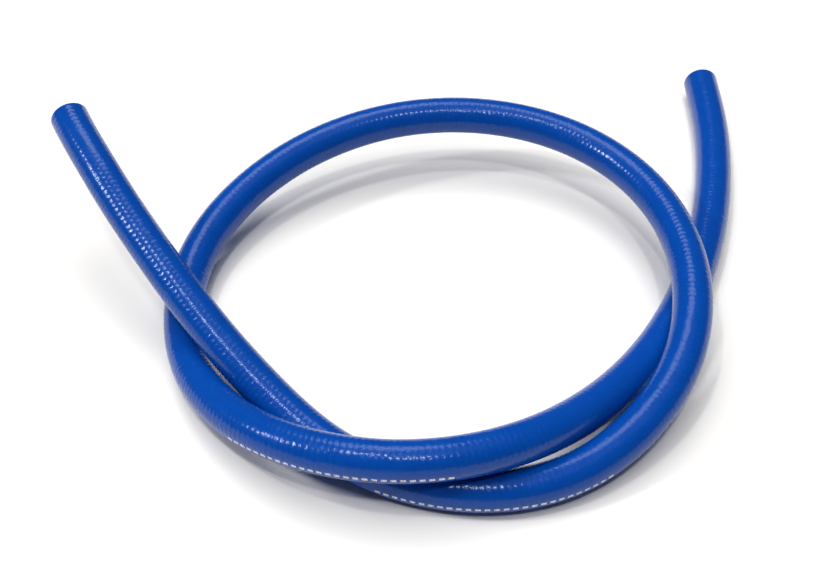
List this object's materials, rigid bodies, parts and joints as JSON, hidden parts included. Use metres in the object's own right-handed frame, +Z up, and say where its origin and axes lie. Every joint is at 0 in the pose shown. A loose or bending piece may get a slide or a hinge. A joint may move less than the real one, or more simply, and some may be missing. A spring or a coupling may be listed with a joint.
{
  "type": "heater hose",
  "caption": "Length of smooth blue silicone rubber hose with a round bore and square-cut ends, lying in one loose loop that crosses over itself.",
  "frame": {"origin": "on the floor, under the middle of the hose's extent in X and Y", "axes": "+Z up from the floor the hose lies on, +X across the loop towards the right tail, +Y along the right tail towards its cut end"},
  "size_m": [0.4537, 0.3856, 0.0936],
  "materials": {
    "silicone_rubber": "glossy blue silicone rubber, with the knit of the reinforcement showing faintly through its skin"
  },
  "bodies": {
    "root": {"heater_hose": "silicone_rubber"}
  },
  "joints": []
}
